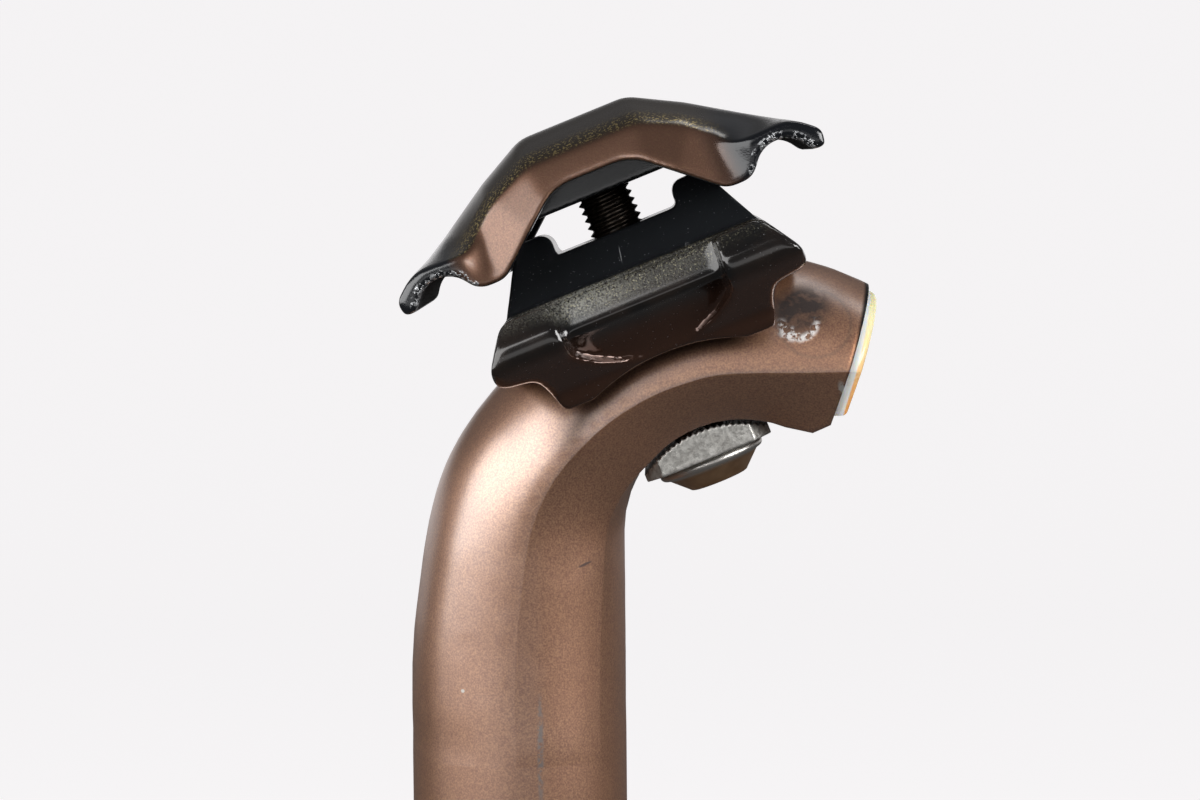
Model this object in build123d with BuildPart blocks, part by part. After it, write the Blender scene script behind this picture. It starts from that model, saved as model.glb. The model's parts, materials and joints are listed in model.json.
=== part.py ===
from build123d import *
from math import cos, radians, sin, sqrt, tan
import os

os.makedirs("parts", exist_ok=True)

# Bent seatpost with a one-bolt rail clamp. Millimetres, +Z up along the shaft.
# The origin is the centre of the shaft's lower end, +X is the setback side.

# Shaft and bend
shaft_diameter = 27.2
shaft_wall = 2.3
post_length = 300.0  # lower end to the rails, clamp level
setback = 28.2  # shaft axis to the bend axis, which is also the tilt axis
blend_drop = 19.0  # the shaft is round up to this far below the bend axis
neck_drop = 28.0  # the swept neck starts this far below it
overcut = 1.0  # cuts run this far past the faces that they open

# Neck, drawn flatter round the bend axis; radii are from that axis
neck_top_radius = 35.0
neck_floor_radius = 14.6
neck_half_width = 16.0
neck_wall = 3.2
crease_radius = 20.8
floor_half_width = 10.2
floor_crown = 0.15
facet_bulge = 0.3
crease_turn = 40.0  # degrees from the round tube's floor to where its lower facets start
facet_turn = 25.0  # half of each facet's arc
blend_steps = (  # share of the blend's drop, flatness, crease
    (0.75, 0.03, 0.03),
    (0.5, 0.10, 0.08),
    (0.25, 0.20, 0.16),
)
bend_steps = (  # angle round the bend, flatness, crease
    (180, 0.31, 0.26),
    (170, 0.48, 0.40),
    (160, 0.67, 0.55),
    (150, 0.87, 0.70),
    (140, 1.0, 0.81),
    (130, 1.0, 0.90),
    (120, 1.0, 0.96),
    (110, 1.0, 1.0),
    (100, 1.0, 1.0),
)
end_angles = (88, 76, 64, 54, 46)  # sections that run out level, past the open end
end_face_lean = 17.5  # the open end leans back from upright
end_face_distance = 6.24  # square from the bend axis to the open end
end_flat_start = (4.5, 13.9)  # the neck runs out flat below its open end: reach and height
bevel_start = (8.8, 13.0)
bevel_rise = 26.0  # degrees
bevel_run = 4.0

# Bolt, counter washer and their seat under the neck
bolt_diameter = 7.0
bolt_length = 40.0
bolt_clearance = 0.6
bolt_tip_chamfer = 0.6
head_seat = 10.4  # bolt head's bearing face above the bend axis
head_gap = 0.1
head_diameter = 13.8
head_flange = 1.3
head_nose_diameter = 7.7
head_cone_height = 2.25
hex_across_flats = 5.0
hex_depth = 3.2
seat_radius = 14.75
seat_half_width = 9.5
seat_cut = 4.0
seat_margin = 34.0  # degrees of seat past each end of the slot
slot_foot = 5.0  # the slots are cut outwards from this close to the bend axis
washer_gap = 0.45
washer_side_gap = 0.3
washer_half_length = 8.3
washer_corner = 2.2
washer_hole_clearance = 0.3
washer_arc = 72.0  # degrees that the washer's teeth span
tooth_pitch = 3.2  # degrees
tooth_depth = 0.35

# Clamp on the rails; heights are above the bend axis, along the bolt
rail_diameter = 7.0
rail_spacing = 44.0
rail_height = 36.4
rest_tilt = 21.7  # the clamp leans forward by this much
tilt_forward = 3.0
tilt_back = 27.0

# Lower cradle
cradle_gap = 0.25
cradle_side_gap = 0.75
seat_shoulder_radius = 24.5  # sides of the cradle's seat rise square to here, then dome over
relief_start = 22.0  # degrees from the bolt; the seat is freer beyond, where the neck thickens
relief_arc = 23.0
relief_depth = 1.3
relief_rise = 1.5
rim_height = 36.3
rim_land = 0.4
rim_round = 0.8
cradle_top_half_length = 16.7
cradle_wing_half_length = 20.0
wing_height = 31.2
wing_bottom = 28.9
wing_underside_rise = 0.6
wing_top_round = 2.5
wing_side_round = 3.0
wing_corner_round = 1.1
cradle_waist_half_length = 15.3
waist_round = 1.6
cradle_foot_half_length = 13.7
cradle_foot = 23.3
foot_round = 0.9
cradle_edge_radius = 25.4
cradle_half_width = 29.3
cradle_rim_half_width = 27.2
cradle_foot_half_width = 20.6
swell_top = 33.6
swell_bottom = 31.0
swell_round = 1.6
scoop_half_length = 10.2
scoop_flare = 0.7
scoop_face = 27.2
scoop_floor = 25.6
scoop_side = 29.7
scoop_lip_drop = 4.5
scoop_middle = (23.3, 29.4)  # the hollow's deepest line, from the bolt and above the bend axis
block_base_half_length = 16.4
block_top_half_length = 12.5
block_base_half_width = 14.6
block_top_half_width = 5.4
ear_height = 44.0
ear_round = 1.6
notch_height = 41.0
notch_half_width = 8.0

# Top clamp, turned crosswise and backed off up the bolt; heights are above its hooks' centres
clamp_lift = 3.9
clamp_half_length = 20.5
clamp_crest = 15.8
clamp_crest_half_width = 7.2
clamp_leg = 12.4
clamp_leg_half_width = 13.6
clamp_shoulder = 8.2
clamp_shoulder_half_width = 20.2
clamp_hook = 5.5
clamp_hook_half_width = 24.6
clamp_reach = 27.7
clamp_tip_height = 2.9
hook_undercut = 0.5
hook_tip = 0.9
clamp_end_drop = 4.2  # the outline falls and draws in this much at the clamp's ends
clamp_leg_drop = 3.0
clamp_leg_draw = 1.0
clamp_shoulder_drop = 3.0
clamp_shoulder_draw = 3.4
crest_round = 5.0
leg_round = 8.0
shoulder_round = 4.0
hook_round = 5.0
tip_round = 1.2
tip_edge_round = 0.9
lobe_height = 0.55
lobe_half_width = 14.4
lobe_round = 2.5
lobe_reach = 23.0
arch_height = 8.5
arch_crown_half_width = 5.0
arch_round = 6.0
hook_groove_radius = 3.7
boss_height = 5.7
boss_half_length = 7.6
boss_half_width = 9.2
boss_sink = 1.0
pocket_half_length = 16.5  # the hollow below is wider between the clamp's end walls
pocket_crown_half_width = 6.5
pocket_height = 10.5
pocket_side_rise = 3.7
pocket_side_draw = 1.0
pocket_half_width = 15.2
thread_depth = 8.6
thread_clearance = 0.08
level = 0.01  # corners this close to one height are rounded together

# End plug
plug_inset = 0.7
plug_thickness = 1.5
plug_skirt = 6.0
plug_fit = 0.15
plug_edge = 0.9
plug_bottom = 15.2  # its flat lower edge, above the bend axis

shaft_radius = shaft_diameter / 2
bend_height = post_length - rail_height
bend_axis = Vector(setback, 0, bend_height)
tilt_axis = Axis(bend_axis, (0, 1, 0))


# Square to the bolt at the bend axis: x along the rails, z up the bolt
def bolt_plane(lean):
    turn = radians(lean)
    return Plane(bend_axis, x_dir=(cos(turn), 0, sin(turn)), z_dir=(-sin(turn), 0, cos(turn)))


# Across the rails through the bolt: x to the far side, y up the bolt
def cross_plane(lean):
    turn = radians(lean)
    return Plane(bend_axis, x_dir=(0, 1, 0), z_dir=(cos(turn), 0, sin(turn)))


# Along the rails through the bolt, seen from the near side: x along the rails, y up the bolt
def side_plane(lean):
    turn = radians(lean)
    return Plane(bend_axis, x_dir=(cos(turn), 0, sin(turn)), z_dir=(0, -1, 0))


# Square to the straight tube below the bend: x to the far side, y away from the bend axis
def straight_plane(drop):
    return Plane(bend_axis - Vector(0, 0, drop), x_dir=(0, 1, 0), z_dir=(0, 0, 1))


# Square to the neck's sweep: x to the far side, y away from the bend axis
def neck_plane(angle):
    turn = radians(angle)
    return Plane(bend_axis, x_dir=(0, 1, 0), z_dir=(sin(turn), 0, -cos(turn)))


def mix(start, end, share):
    return start + (end - start) * share


# Section of the tube: round at flat 0, domed with two lower facets at flat 1
def neck_outline(plane, flat, crease, inset):
    radius = shaft_radius - inset
    half_width = mix(radius, neck_half_width - inset, flat)
    top = mix(setback + radius, neck_top_radius - inset, flat)
    floor = mix(setback - radius, neck_floor_radius + inset, flat)
    corner = mix(radius * sin(radians(crease_turn)), floor_half_width - inset / 2, flat)
    corner_rise = mix(radius * (1 - cos(radians(crease_turn))), floor_crown, flat)
    bulge = mix(radius * (1 - cos(radians(facet_turn))), facet_bulge, flat)
    run = half_width - corner
    rise = crease - floor - corner_rise
    facet = sqrt(run**2 + rise**2)
    middle = ((half_width + corner) / 2 + bulge * rise / facet,
              (crease + floor + corner_rise) / 2 - bulge * run / facet)
    if flat == 0:
        dome = CenterArc((0, crease), half_width, start_angle=0, arc_size=180)
    else:
        dome = EllipticalCenterArc((0, crease), half_width, top - crease, start_angle=0, arc_size=180)
    left = ThreePointArc((-half_width, crease), (-middle[0], middle[1]), (-corner, floor + corner_rise))
    bottom = ThreePointArc((-corner, floor + corner_rise), (0, floor), (corner, floor + corner_rise))
    right = ThreePointArc((corner, floor + corner_rise), middle, (half_width, crease))
    return Face(plane * Wire([dome, left, bottom, right]))


# Sections from the round shaft, round the bend, to past the open end
def neck_sections(shaft_inset, neck_inset):
    sections = []
    for drop in (neck_drop, (neck_drop + blend_drop) / 2, blend_drop):
        sections.append(neck_outline(straight_plane(drop), 0, setback, shaft_inset))
    for share, flat, fall in blend_steps:
        inset = mix(shaft_inset, neck_inset, flat)
        crease = mix(setback, crease_radius, fall)
        sections.append(neck_outline(straight_plane(blend_drop * share), flat, crease, inset))
    for angle, flat, fall in bend_steps:
        inset = mix(shaft_inset, neck_inset, flat)
        crease = mix(setback, crease_radius, fall)
        sections.append(neck_outline(neck_plane(angle), flat, crease, inset))
    for angle in end_angles:
        crease = min(crease_radius / sin(radians(angle)), setback - overcut)
        sections.append(neck_outline(neck_plane(angle), 1, crease, neck_inset))
    return sections


end_lean = radians(end_face_lean)
end_normal = Vector(cos(end_lean), 0, -sin(end_lean))
end_plane = Plane(bend_axis + end_normal * end_face_distance, x_dir=(0, 1, 0), z_dir=end_normal)
bevel_end = (bevel_start[0] + bevel_run, bevel_start[1] + bevel_run * tan(radians(bevel_rise)))
slot_half_width = bolt_diameter / 2 + bolt_clearance
slot_start = rest_tilt + tilt_forward
slot_sweep = tilt_forward + tilt_back
slot_middle = (tilt_back - tilt_forward) / 2
tooth_width = seat_radius * radians(tooth_pitch)
seat_teeth = round((slot_sweep + 2 * seat_margin) / tooth_pitch)
seat_teeth_arc = (seat_teeth - 1) * tooth_pitch
bore_radius = shaft_radius - shaft_wall
washer_top = seat_radius - washer_gap
washer_half_width = seat_half_width - washer_side_gap
washer_teeth = round(washer_arc / tooth_pitch)
washer_teeth_arc = (washer_teeth - 1) * tooth_pitch
bolt_axis = Axis(bend_axis, bolt_plane(rest_tilt).z_dir)
head_cone = head_seat - head_flange
head_nose = head_cone - head_cone_height
relief_shoulder = seat_shoulder_radius + relief_rise
block_foot = neck_top_radius / 2
clamp_base = rail_height + clamp_lift

# Neck from the round shaft round the bend to the open end
with BuildPart() as neck:
    loft(sections=neck_sections(0, 0))
    split(bisect_by=end_plane, keep=Keep.BOTTOM)
    with BuildSketch(side_plane(0)):
        with BuildLine():
            Polyline(
                end_flat_start,
                bevel_start,
                bevel_end,
                (bevel_end[0], 0),
                (end_flat_start[0], 0),
                close=True,
            )
        make_face()
    extrude(amount=neck_half_width + overcut, both=True, mode=Mode.SUBTRACT)

# The neck's cavity, which carries the shaft's bore on round the bend
with BuildPart() as cavity:
    loft(sections=neck_sections(shaft_wall, neck_wall))

# Post tube: shaft and neck, hollow, with the bolt's slots and the toothed seat below the neck
with BuildPart() as post_tube:
    with BuildSketch():
        Circle(shaft_radius)
    extrude(amount=bend_height - neck_drop)
    add(neck.part)
    with BuildSketch():
        Circle(bore_radius)
    extrude(amount=bend_height - neck_drop, mode=Mode.SUBTRACT)
    add(cavity.part, mode=Mode.SUBTRACT)
    with BuildSketch(cross_plane(slot_start)):
        with Locations((0, slot_foot + neck_top_radius / 2)):
            Rectangle(2 * slot_half_width, neck_top_radius)
    revolve(axis=tilt_axis, revolution_arc=slot_sweep, mode=Mode.SUBTRACT)
    for lean in (slot_start, slot_start - slot_sweep):
        with BuildSketch(bolt_plane(lean).offset(slot_foot)):
            Circle(slot_half_width)
        extrude(amount=neck_top_radius, mode=Mode.SUBTRACT)
    with BuildSketch(cross_plane(slot_start + seat_margin)):
        with Locations((0, seat_radius - seat_cut / 2)):
            Rectangle(2 * seat_half_width, seat_cut)
    revolve(axis=tilt_axis, revolution_arc=slot_sweep + 2 * seat_margin, mode=Mode.SUBTRACT)
    with BuildSketch(side_plane(rest_tilt - slot_middle)):
        with PolarLocations(seat_radius, seat_teeth, 90 - seat_teeth_arc / 2, seat_teeth_arc, endpoint=True):
            Polygon((-tooth_depth, -tooth_width), (-tooth_depth, tooth_width), (tooth_depth, 0), align=None)
    extrude(amount=seat_half_width, both=True, mode=Mode.SUBTRACT)

# End plug: a cap with the neck's outline and a skirt that fits its cavity
with BuildPart() as plug_skirt_form:
    loft(sections=neck_sections(shaft_wall + plug_fit, neck_wall + plug_fit))
    split(bisect_by=end_plane, keep=Keep.BOTTOM)
    split(bisect_by=end_plane.offset(-plug_skirt), keep=Keep.TOP)
    split(bisect_by=Plane(bend_axis + Vector(0, 0, plug_bottom + plug_edge)), keep=Keep.TOP)

with BuildPart() as neck_end_plug:
    loft(sections=neck_sections(plug_inset, plug_inset))
    split(bisect_by=end_plane, keep=Keep.TOP)
    split(bisect_by=end_plane.offset(plug_thickness), keep=Keep.BOTTOM)
    split(bisect_by=Plane(bend_axis + Vector(0, 0, plug_bottom)), keep=Keep.TOP)
    fillet(edges().group_by(Axis(end_plane.origin, end_normal))[-1], plug_edge)
    add(plug_skirt_form.part)

# Counter washer: flat below for the bolt head, toothed arc above for the neck's seat
with BuildPart() as curved_washer:
    with BuildSketch(bolt_plane(rest_tilt).offset(head_seat + head_gap)):
        Rectangle(2 * washer_half_length, 2 * washer_half_width)
        chamfer(vertices(), washer_corner)
    extrude(amount=washer_top - head_seat)
    with BuildSketch(side_plane(rest_tilt)):
        Circle(washer_top)
    extrude(amount=seat_half_width, both=True, mode=Mode.INTERSECT)
    with BuildSketch(side_plane(rest_tilt)):
        tooth_start = 90 - washer_teeth_arc / 2
        with PolarLocations(washer_top, washer_teeth, tooth_start, washer_teeth_arc, endpoint=True):
            Polygon((tooth_depth, -tooth_width), (tooth_depth, tooth_width), (-tooth_depth, 0), align=None)
    extrude(amount=seat_half_width, both=True, mode=Mode.SUBTRACT)
    with BuildSketch(bolt_plane(rest_tilt).offset(head_seat)):
        Circle(bolt_diameter / 2 + washer_hole_clearance)
    extrude(amount=seat_radius, mode=Mode.SUBTRACT)

# Clamp bolt: plain shank, cone head and hexagon socket, standing along the clamp's lean
with BuildPart() as clamp_bolt:
    with BuildSketch(cross_plane(rest_tilt)):
        with BuildLine():
            Polyline(
                (0, head_nose),
                (head_nose_diameter / 2, head_nose),
                (head_diameter / 2, head_cone),
                (head_diameter / 2, head_seat),
                (bolt_diameter / 2, head_seat),
                (bolt_diameter / 2, head_seat + bolt_length - bolt_tip_chamfer),
                (bolt_diameter / 2 - bolt_tip_chamfer, head_seat + bolt_length),
                (0, head_seat + bolt_length),
                close=True,
            )
        make_face()
    revolve(axis=bolt_axis)
    with BuildSketch(bolt_plane(rest_tilt).offset(head_nose)):
        RegularPolygon(hex_across_flats / 2, 6, major_radius=False)
    extrude(amount=hex_depth, mode=Mode.SUBTRACT)

# Cradle's centre block: two ears with a notch between, on sloping sides
with BuildPart() as cradle_block:
    with BuildSketch(side_plane(rest_tilt)):
        with BuildLine():
            Polyline(
                (0, notch_height),
                (notch_half_width, notch_height),
                (notch_half_width, ear_height),
                (block_top_half_length, ear_height),
                (block_base_half_length, rim_height),
                (block_base_half_length, block_foot),
                (0, block_foot),
            )
            mirror(about=Plane.YZ)
        make_face()
        fillet(vertices().group_by(Axis.Y)[-1], ear_round)
    extrude(amount=block_base_half_width, both=True)
    with BuildSketch(cross_plane(rest_tilt)):
        with BuildLine():
            Polyline(
                (0, ear_height),
                (block_top_half_width, ear_height),
                (block_base_half_width, rim_height),
                (block_base_half_width, block_foot),
                (0, block_foot),
            )
            mirror(about=Plane.YZ)
        make_face()
    extrude(amount=block_base_half_length, both=True, mode=Mode.INTERSECT)

# What the cradle straddles: the neck's outline with a gap, swept round the tilt axis
with BuildPart() as straddle:
    with BuildSketch(cross_plane(rest_tilt)):
        with Locations((0, seat_shoulder_radius)):
            Ellipse(neck_half_width + cradle_side_gap, neck_top_radius + cradle_gap - seat_shoulder_radius)
        with Locations((0, seat_shoulder_radius / 2)):
            Rectangle(2 * (neck_half_width + cradle_side_gap), seat_shoulder_radius)
    revolve(axis=tilt_axis)

# Freer ends of the cradle's seat, towards the shaft and the open end
with BuildPart() as seat_relief:
    for lean in (rest_tilt + relief_start + relief_arc, rest_tilt - relief_start):
        with BuildSketch(cross_plane(lean)):
            with Locations((0, relief_shoulder)):
                Ellipse(neck_half_width + relief_depth, neck_top_radius - seat_shoulder_radius)
            with Locations((0, relief_shoulder / 2)):
                Rectangle(2 * (neck_half_width + relief_depth), relief_shoulder)
        revolve(axis=tilt_axis, revolution_arc=relief_arc)

# Scoops in the cradle's sides: arched below, hollowed inwards under a lip
with BuildPart() as scoops:
    with BuildSketch(side_plane(rest_tilt)):
        with BuildLine():
            ThreePointArc((-scoop_half_length, scoop_side), (0, scoop_floor), (scoop_half_length, scoop_side))
            Polyline(
                (scoop_half_length, scoop_side),
                (scoop_half_length + scoop_flare, ear_height),
                (-scoop_half_length - scoop_flare, ear_height),
                (-scoop_half_length, scoop_side),
            )
        make_face()
    extrude(amount=cradle_half_width + overcut, both=True)
    with BuildSketch(cross_plane(rest_tilt)):
        with BuildLine():
            Polyline(
                (cradle_foot_half_width, cradle_edge_radius),
                (cradle_half_width + overcut, cradle_edge_radius),
                (cradle_half_width + overcut, rim_height),
                (rail_spacing / 2 + rail_diameter / 2 + rim_land, rim_height),
                (scoop_face, rim_height - scoop_lip_drop),
            )
            ThreePointArc(
                (scoop_face, rim_height - scoop_lip_drop),
                scoop_middle,
                (cradle_foot_half_width, cradle_edge_radius),
            )
        make_face()
        mirror(about=Plane.YZ)
    extrude(amount=cradle_top_half_length, both=True, mode=Mode.INTERSECT)

# Lower cradle: forged saddle over the neck, with rail grooves, winged ends and scooped sides
with BuildPart() as lower_cradle:
    with BuildSketch(side_plane(rest_tilt)):
        with BuildLine():
            FilletPolyline(
                (0, rim_height),
                (cradle_top_half_length, rim_height),
                (cradle_wing_half_length, wing_height),
                (cradle_wing_half_length, wing_bottom),
                (cradle_waist_half_length, wing_bottom - wing_underside_rise),
                (cradle_foot_half_length, cradle_foot),
                (0, cradle_foot),
                radius=[wing_top_round, wing_side_round, wing_corner_round, waist_round, foot_round],
            )
            mirror(about=Plane.YZ)
        make_face()
    extrude(amount=cradle_half_width, both=True)
    with BuildSketch(cross_plane(rest_tilt)):
        with BuildLine():
            FilletPolyline(
                (0, rim_height),
                (cradle_rim_half_width, rim_height),
                (cradle_half_width, swell_top),
                (cradle_half_width, swell_bottom),
                (cradle_foot_half_width, cradle_edge_radius),
                (cradle_foot_half_width, cradle_foot),
                (0, cradle_foot),
                radius=[rim_round, swell_round, swell_round, foot_round, foot_round],
            )
            mirror(about=Plane.YZ)
        make_face()
    extrude(amount=cradle_wing_half_length, both=True, mode=Mode.INTERSECT)
    add(scoops.part, mode=Mode.SUBTRACT)
    add(cradle_block.part)
    with BuildSketch(cross_plane(rest_tilt)):
        with GridLocations(rail_spacing, 1, 2, 1):
            with Locations((0, rail_height)):
                Circle(rail_diameter / 2)
    extrude(amount=cradle_wing_half_length, both=True, mode=Mode.SUBTRACT)
    add(straddle.part, mode=Mode.SUBTRACT)
    add(seat_relief.part, mode=Mode.SUBTRACT)
    with BuildSketch(side_plane(rest_tilt)):
        Circle(cradle_edge_radius)
    extrude(amount=cradle_half_width, both=True, mode=Mode.SUBTRACT)
    with BuildSketch(bolt_plane(rest_tilt)):
        Circle(bolt_diameter / 2 + bolt_clearance)
    extrude(amount=ear_height, mode=Mode.SUBTRACT)


# Outline of the top clamp across its hooks: full height at share 0, lower towards its ends
def clamp_outline(share):
    drop = share**2
    right = [
        (clamp_crest_half_width, clamp_base + clamp_crest - clamp_end_drop * drop),
        (clamp_leg_half_width - clamp_leg_draw * drop, clamp_base + clamp_leg - clamp_leg_drop * drop),
        (
            clamp_shoulder_half_width - clamp_shoulder_draw * drop,
            clamp_base + clamp_shoulder - clamp_shoulder_drop * drop,
        ),
        (clamp_hook_half_width, clamp_base + clamp_hook),
        (clamp_reach, clamp_base + clamp_tip_height),
        (clamp_reach - hook_undercut, clamp_base),
    ]
    left = [(-x, y) for x, y in reversed(right)]
    rounds = [crest_round, leg_round, shoulder_round, hook_round, tip_round, tip_edge_round]
    with BuildSketch(side_plane(rest_tilt).offset(share * clamp_half_length)) as outline:
        with BuildLine():
            FilletPolyline(*right, *left, radius=rounds + rounds[::-1], close=True)
        make_face()
    return outline.sketch


# Top clamp: crowned bridge with a hook on each side, an arch below and a tapped boss
with BuildPart() as top_clamp:
    loft(sections=[clamp_outline(share) for share in (-1, -0.5, 0, 0.5, 1)])
    with BuildSketch(side_plane(rest_tilt)) as underside:
        with BuildLine():
            Polyline(
                (0, clamp_base + arch_height),
                (arch_crown_half_width, clamp_base + arch_height),
                (lobe_half_width, clamp_base + lobe_height),
                (lobe_reach, clamp_base + lobe_height),
                (lobe_reach, clamp_base + hook_tip),
                (clamp_reach + overcut, clamp_base + hook_tip),
                (clamp_reach + overcut, clamp_base - overcut),
                (0, clamp_base - overcut),
            )
            mirror(about=Plane.YZ)
        make_face()
        with GridLocations(rail_spacing, 1, 2, 1):
            with Locations((0, clamp_base)):
                Circle(hook_groove_radius)
        crowns = underside.vertices().filter_by_position(Axis.X, -clamp_leg, clamp_leg)
        fillet(crowns.group_by(Axis.Y)[-1], arch_round)
        lobe_level = clamp_base + lobe_height
        lobes = underside.vertices().filter_by_position(Axis.Y, lobe_level - level, lobe_level + level)
        fillet(lobes, lobe_round)
        tips = underside.vertices().filter_by_position(Axis.X, -clamp_reach, clamp_reach)
        tip_level = clamp_base + hook_tip
        fillet(tips.filter_by_position(Axis.Y, tip_level - level, tip_level + level), tip_edge_round)
    extrude(amount=clamp_half_length, both=True, mode=Mode.SUBTRACT)
    with BuildSketch(side_plane(rest_tilt)):
        with BuildLine():
            Polyline(
                (0, clamp_base + pocket_height),
                (pocket_crown_half_width, clamp_base + pocket_height),
                (pocket_half_width - pocket_side_draw, clamp_base + pocket_side_rise),
                (pocket_half_width, clamp_base + lobe_height),
                (pocket_half_width, clamp_base - lobe_height),
                (0, clamp_base - lobe_height),
            )
            mirror(about=Plane.YZ)
        make_face()
    extrude(amount=pocket_half_length, both=True, mode=Mode.SUBTRACT)
    with BuildSketch(bolt_plane(rest_tilt).offset(clamp_base + boss_height)):
        Rectangle(2 * boss_half_width, 2 * boss_half_length)
    extrude(amount=pocket_height + boss_sink - boss_height)
    with BuildSketch(bolt_plane(rest_tilt).offset(clamp_base)):
        Circle(bolt_diameter / 2 + thread_clearance)
    extrude(amount=boss_height + thread_depth, mode=Mode.SUBTRACT)

parts = {
    "post_tube": post_tube,
    "neck_end_plug": neck_end_plug,
    "lower_cradle": lower_cradle,
    "top_clamp": top_clamp,
    "clamp_bolt": clamp_bolt,
    "curved_washer": curved_washer,
}
for name, piece in parts.items():
    piece.part.label = name
    export_step(piece.part, f"parts/{name}.step")
    print(name, len(piece.part.solids()), len(piece.part.faces()), round(piece.part.volume))
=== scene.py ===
import bpy
import json
from math import cos, radians, sin
from mathutils import Matrix, Vector

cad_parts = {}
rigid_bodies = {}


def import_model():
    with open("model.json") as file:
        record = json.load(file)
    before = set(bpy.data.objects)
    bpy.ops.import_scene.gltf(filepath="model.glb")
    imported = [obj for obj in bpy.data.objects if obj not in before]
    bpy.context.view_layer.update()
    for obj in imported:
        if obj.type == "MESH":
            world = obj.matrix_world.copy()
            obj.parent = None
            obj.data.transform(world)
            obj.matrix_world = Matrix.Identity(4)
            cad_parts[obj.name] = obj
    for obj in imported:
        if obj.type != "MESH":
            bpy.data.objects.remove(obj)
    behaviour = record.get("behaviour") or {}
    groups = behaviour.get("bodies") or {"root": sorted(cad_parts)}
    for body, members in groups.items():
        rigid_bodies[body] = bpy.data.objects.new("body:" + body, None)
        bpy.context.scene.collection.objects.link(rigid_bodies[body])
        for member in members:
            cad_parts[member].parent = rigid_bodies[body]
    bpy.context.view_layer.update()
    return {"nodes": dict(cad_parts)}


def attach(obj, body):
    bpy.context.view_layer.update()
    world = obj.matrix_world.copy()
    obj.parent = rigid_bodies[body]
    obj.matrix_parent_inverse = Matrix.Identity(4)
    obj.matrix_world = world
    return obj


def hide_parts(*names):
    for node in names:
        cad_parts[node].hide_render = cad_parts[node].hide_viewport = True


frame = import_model()
print("frame loaded")

mm = 0.001
# Where the clamp leans: the neck sweeps round this axis and the clamp tilts on it
bendAxis = Vector((0.0282, 0, 0.2636))
clampLean = radians(21.7)
alongRails = Vector((cos(clampLean), 0, sin(clampLean)))
upBolt = Vector((-sin(clampLean), 0, cos(clampLean)))
boltFrame = Matrix((alongRails, (0, 1, 0), upBolt)).transposed().to_4x4()
boltFrame.translation = bendAxis
neckEnd = (0.966, 0, -0.259)  # which way the neck's end faces


def hexColor(code):
    channels = [int(code[i:i + 2], 16) / 255 for i in (1, 3, 5)]
    linear = [c / 12.92 if c <= 0.04045 else ((c + 0.055) / 1.055) ** 2.4 for c in channels]
    return (*linear, 1)


# A node with its settings and links: a value that is another node's socket becomes a link
def addNode(tree, kind, settings=None):
    node = tree.nodes.new(kind)
    for name, value in (settings or {}).items():
        if isinstance(value, bpy.types.NodeSocket):
            tree.links.new(value, node.inputs[name])
        elif isinstance(name, str) and hasattr(node, name):
            setattr(node, name, value)
        else:
            node.inputs[name].default_value = value
    return node


# Settings that come back: two masks multiplied, the larger of them, what is left of the first
# without the second, and two colours blended
product = {"operation": "MULTIPLY", "use_clamp": True}
larger = {"operation": "MAXIMUM", "use_clamp": True}
lessened = {"operation": "SUBTRACT", "use_clamp": True}
blend = {"data_type": "RGBA"}


# The settings of a smooth rise, from 0 at the first value to 1 at the second
def rising(start, end):
    return {"interpolation_type": "SMOOTHSTEP", "From Min": start, "From Max": end}


def newMaterial(name):
    material = bpy.data.materials.new(name)
    material.use_nodes = True
    material.node_tree.nodes.clear()
    return material, material.node_tree


# Object coordinates in millimetres from the bend axis, level or leaning with the clamp
def placeInMm(tree, lean=0.0):
    place = addNode(tree, "ShaderNodeTexCoord").outputs["Object"]
    settings = {"vector_type": "TEXTURE", "Location": bendAxis, "Rotation": (0, -lean, 0)}
    settings |= {"Scale": (mm, mm, mm), "Vector": place}
    return addNode(tree, "ShaderNodeMapping", settings).outputs[0]


# Noise of a given size in millimetres, from 0 under one level to 1 above the other
def grain(tree, place, size, low, high, detail=1.0):
    settings = {"Scale": 1 / size, "Detail": detail, "Vector": place}
    noise = addNode(tree, "ShaderNodeTexNoise", settings).outputs["Fac"]
    settings = {"From Min": low, "From Max": high, "Value": noise}
    return addNode(tree, "ShaderNodeMapRange", settings).outputs[0]


# 1 inside a soft-edged ellipsoid, 0 outside it: half sizes in mm, turn in degrees
def spot(tree, place, centre, halfSize, turn, soft):
    settings = {"vector_type": "TEXTURE", "Location": centre, "Rotation": (0, radians(turn), 0)}
    settings |= {"Scale": halfSize, "Vector": place}
    local = addNode(tree, "ShaderNodeMapping", settings).outputs[0]
    reach = addNode(tree, "ShaderNodeVectorMath", {"operation": "LENGTH", 0: local}).outputs["Value"]
    settings = rising(1 + soft, 1 - soft) | {"Value": reach}
    return addNode(tree, "ShaderNodeMapRange", settings).outputs[0]


# One colour over another, as far as a mask and a strength let it through
def lay(tree, under, over, mask, strength=1.0):
    share = addNode(tree, "ShaderNodeMath", product | {0: mask, 1: strength}).outputs[0]
    color = hexColor(over) if isinstance(over, str) else over
    return addNode(tree, "ShaderNodeMix", blend | {0: share, 6: under, 7: color}).outputs[2]


# The surface itself, with relief to a depth in mm and edges rounded to a radius in mm
def finish(tree, surface, height=None, depth=0.0, edge=0.0):
    if height is not None:
        relief = {"Strength": 1.0, "Distance": depth * mm, "Height": height}
        if edge:
            settings = {"samples": 8, "Radius": edge * mm}
            relief["Normal"] = addNode(tree, "ShaderNodeBevel", settings).outputs[0]
        surface = surface | {"Normal": addNode(tree, "ShaderNodeBump", relief).outputs[0]}
    shader = addNode(tree, "ShaderNodeBsdfPrincipled", surface)
    addNode(tree, "ShaderNodeOutputMaterial", {"Surface": shader.outputs[0]})


def dress(obj, material):
    obj.data.materials.clear()
    obj.data.materials.append(material)


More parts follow.
